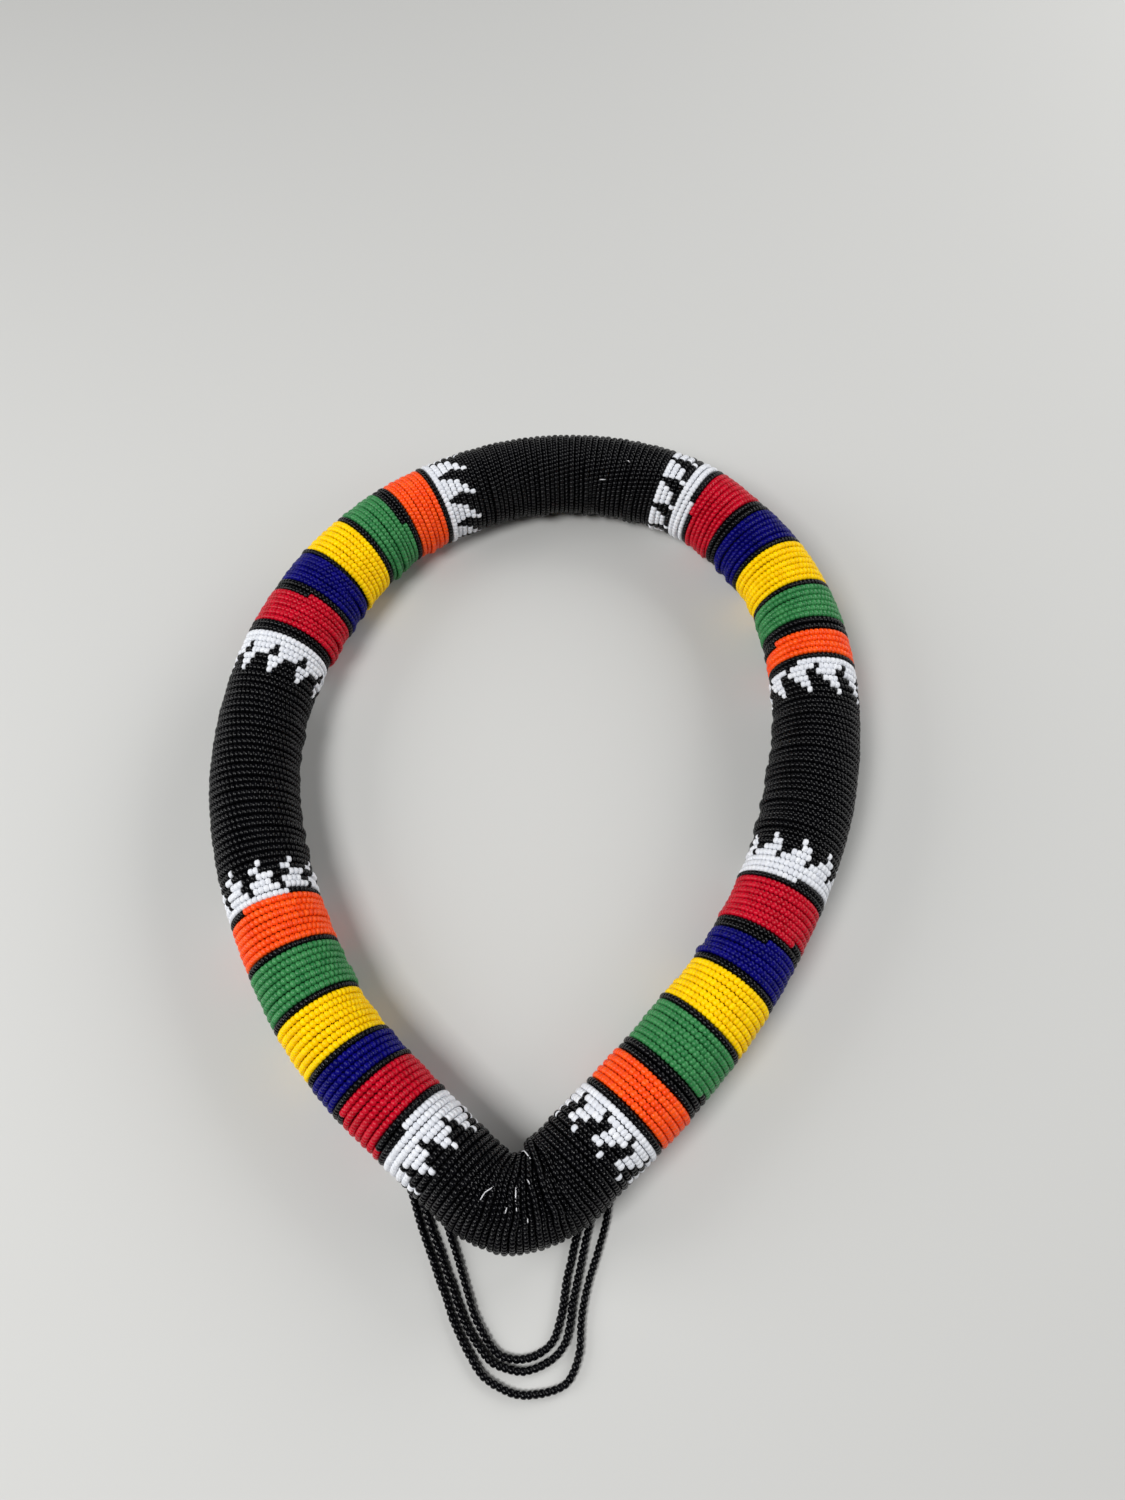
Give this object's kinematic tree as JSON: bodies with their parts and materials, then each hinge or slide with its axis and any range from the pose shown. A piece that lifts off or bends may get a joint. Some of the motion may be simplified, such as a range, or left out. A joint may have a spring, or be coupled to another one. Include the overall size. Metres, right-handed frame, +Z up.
{
  "type": "beaded headband",
  "caption": "Padded teardrop headband ring wound with seed beads in stripes and stepped triangles, with three loose bead loops at its point.",
  "frame": {"origin": "middle of the part's box in plan, on the surface that the part lies on", "axes": "+Z up, +Y from the point to the round top, +X to the right as seen from above with the point nearest"},
  "size_m": [0.2102, 0.309, 0.029],
  "materials": {
    "black_beads": "opaque glossy seed beads",
    "white_beads": "opaque glossy seed beads",
    "red_beads": "opaque glossy seed beads",
    "blue_beads": "opaque glossy seed beads",
    "yellow_beads": "opaque glossy seed beads",
    "green_beads": "opaque glossy seed beads",
    "orange_beads": "opaque glossy seed beads",
    "core_cloth": "matt woven cloth"
  },
  "bodies": {
    "root": {"white_1_start": "white_beads", "line_1a": "black_beads", "red_1": "red_beads", "line_1b": "black_beads", "blue_1": "blue_beads", "line_1c": "black_beads", "yellow_1": "yellow_beads", "line_1d": "black_beads", "green_1": "green_beads", "line_1e": "black_beads", "orange_1": "orange_beads", "line_1f": "black_beads", "white_1_end": "white_beads", "black_right": "black_beads", "white_2_start": "white_beads", "line_2a": "black_beads", "red_2": "red_beads", "line_2b": "black_beads", "blue_2": "blue_beads", "line_2c": "black_beads", "yellow_2": "yellow_beads", "line_2d": "black_beads", "green_2": "green_beads", "line_2e": "black_beads", "orange_2": "orange_beads", "line_2f": "black_beads", "white_2_end": "white_beads", "black_point": "black_beads", "white_3_start": "white_beads", "line_3a": "black_beads", "red_3": "red_beads", "line_3b": "black_beads", "blue_3": "blue_beads", "line_3c": "black_beads", "yellow_3": "yellow_beads", "line_3d": "black_beads", "green_3": "green_beads", "line_3e": "black_beads", "orange_3": "orange_beads", "line_3f": "black_beads", "white_3_end": "white_beads", "black_left": "black_beads", "white_4_start": "white_beads", "line_4a": "black_beads", "red_4": "red_beads", "line_4b": "black_beads", "blue_4": "blue_beads", "line_4c": "black_beads", "yellow_4": "yellow_beads", "line_4d": "black_beads", "green_4": "green_beads", "line_4e": "black_beads", "orange_4": "orange_beads", "line_4f": "black_beads", "white_4_end": "white_beads", "black_top": "black_beads", "core_roll": "core_cloth", "strand_outer": "black_beads", "strand_middle": "black_beads", "strand_inner": "black_beads"}
  },
  "joints": []
}
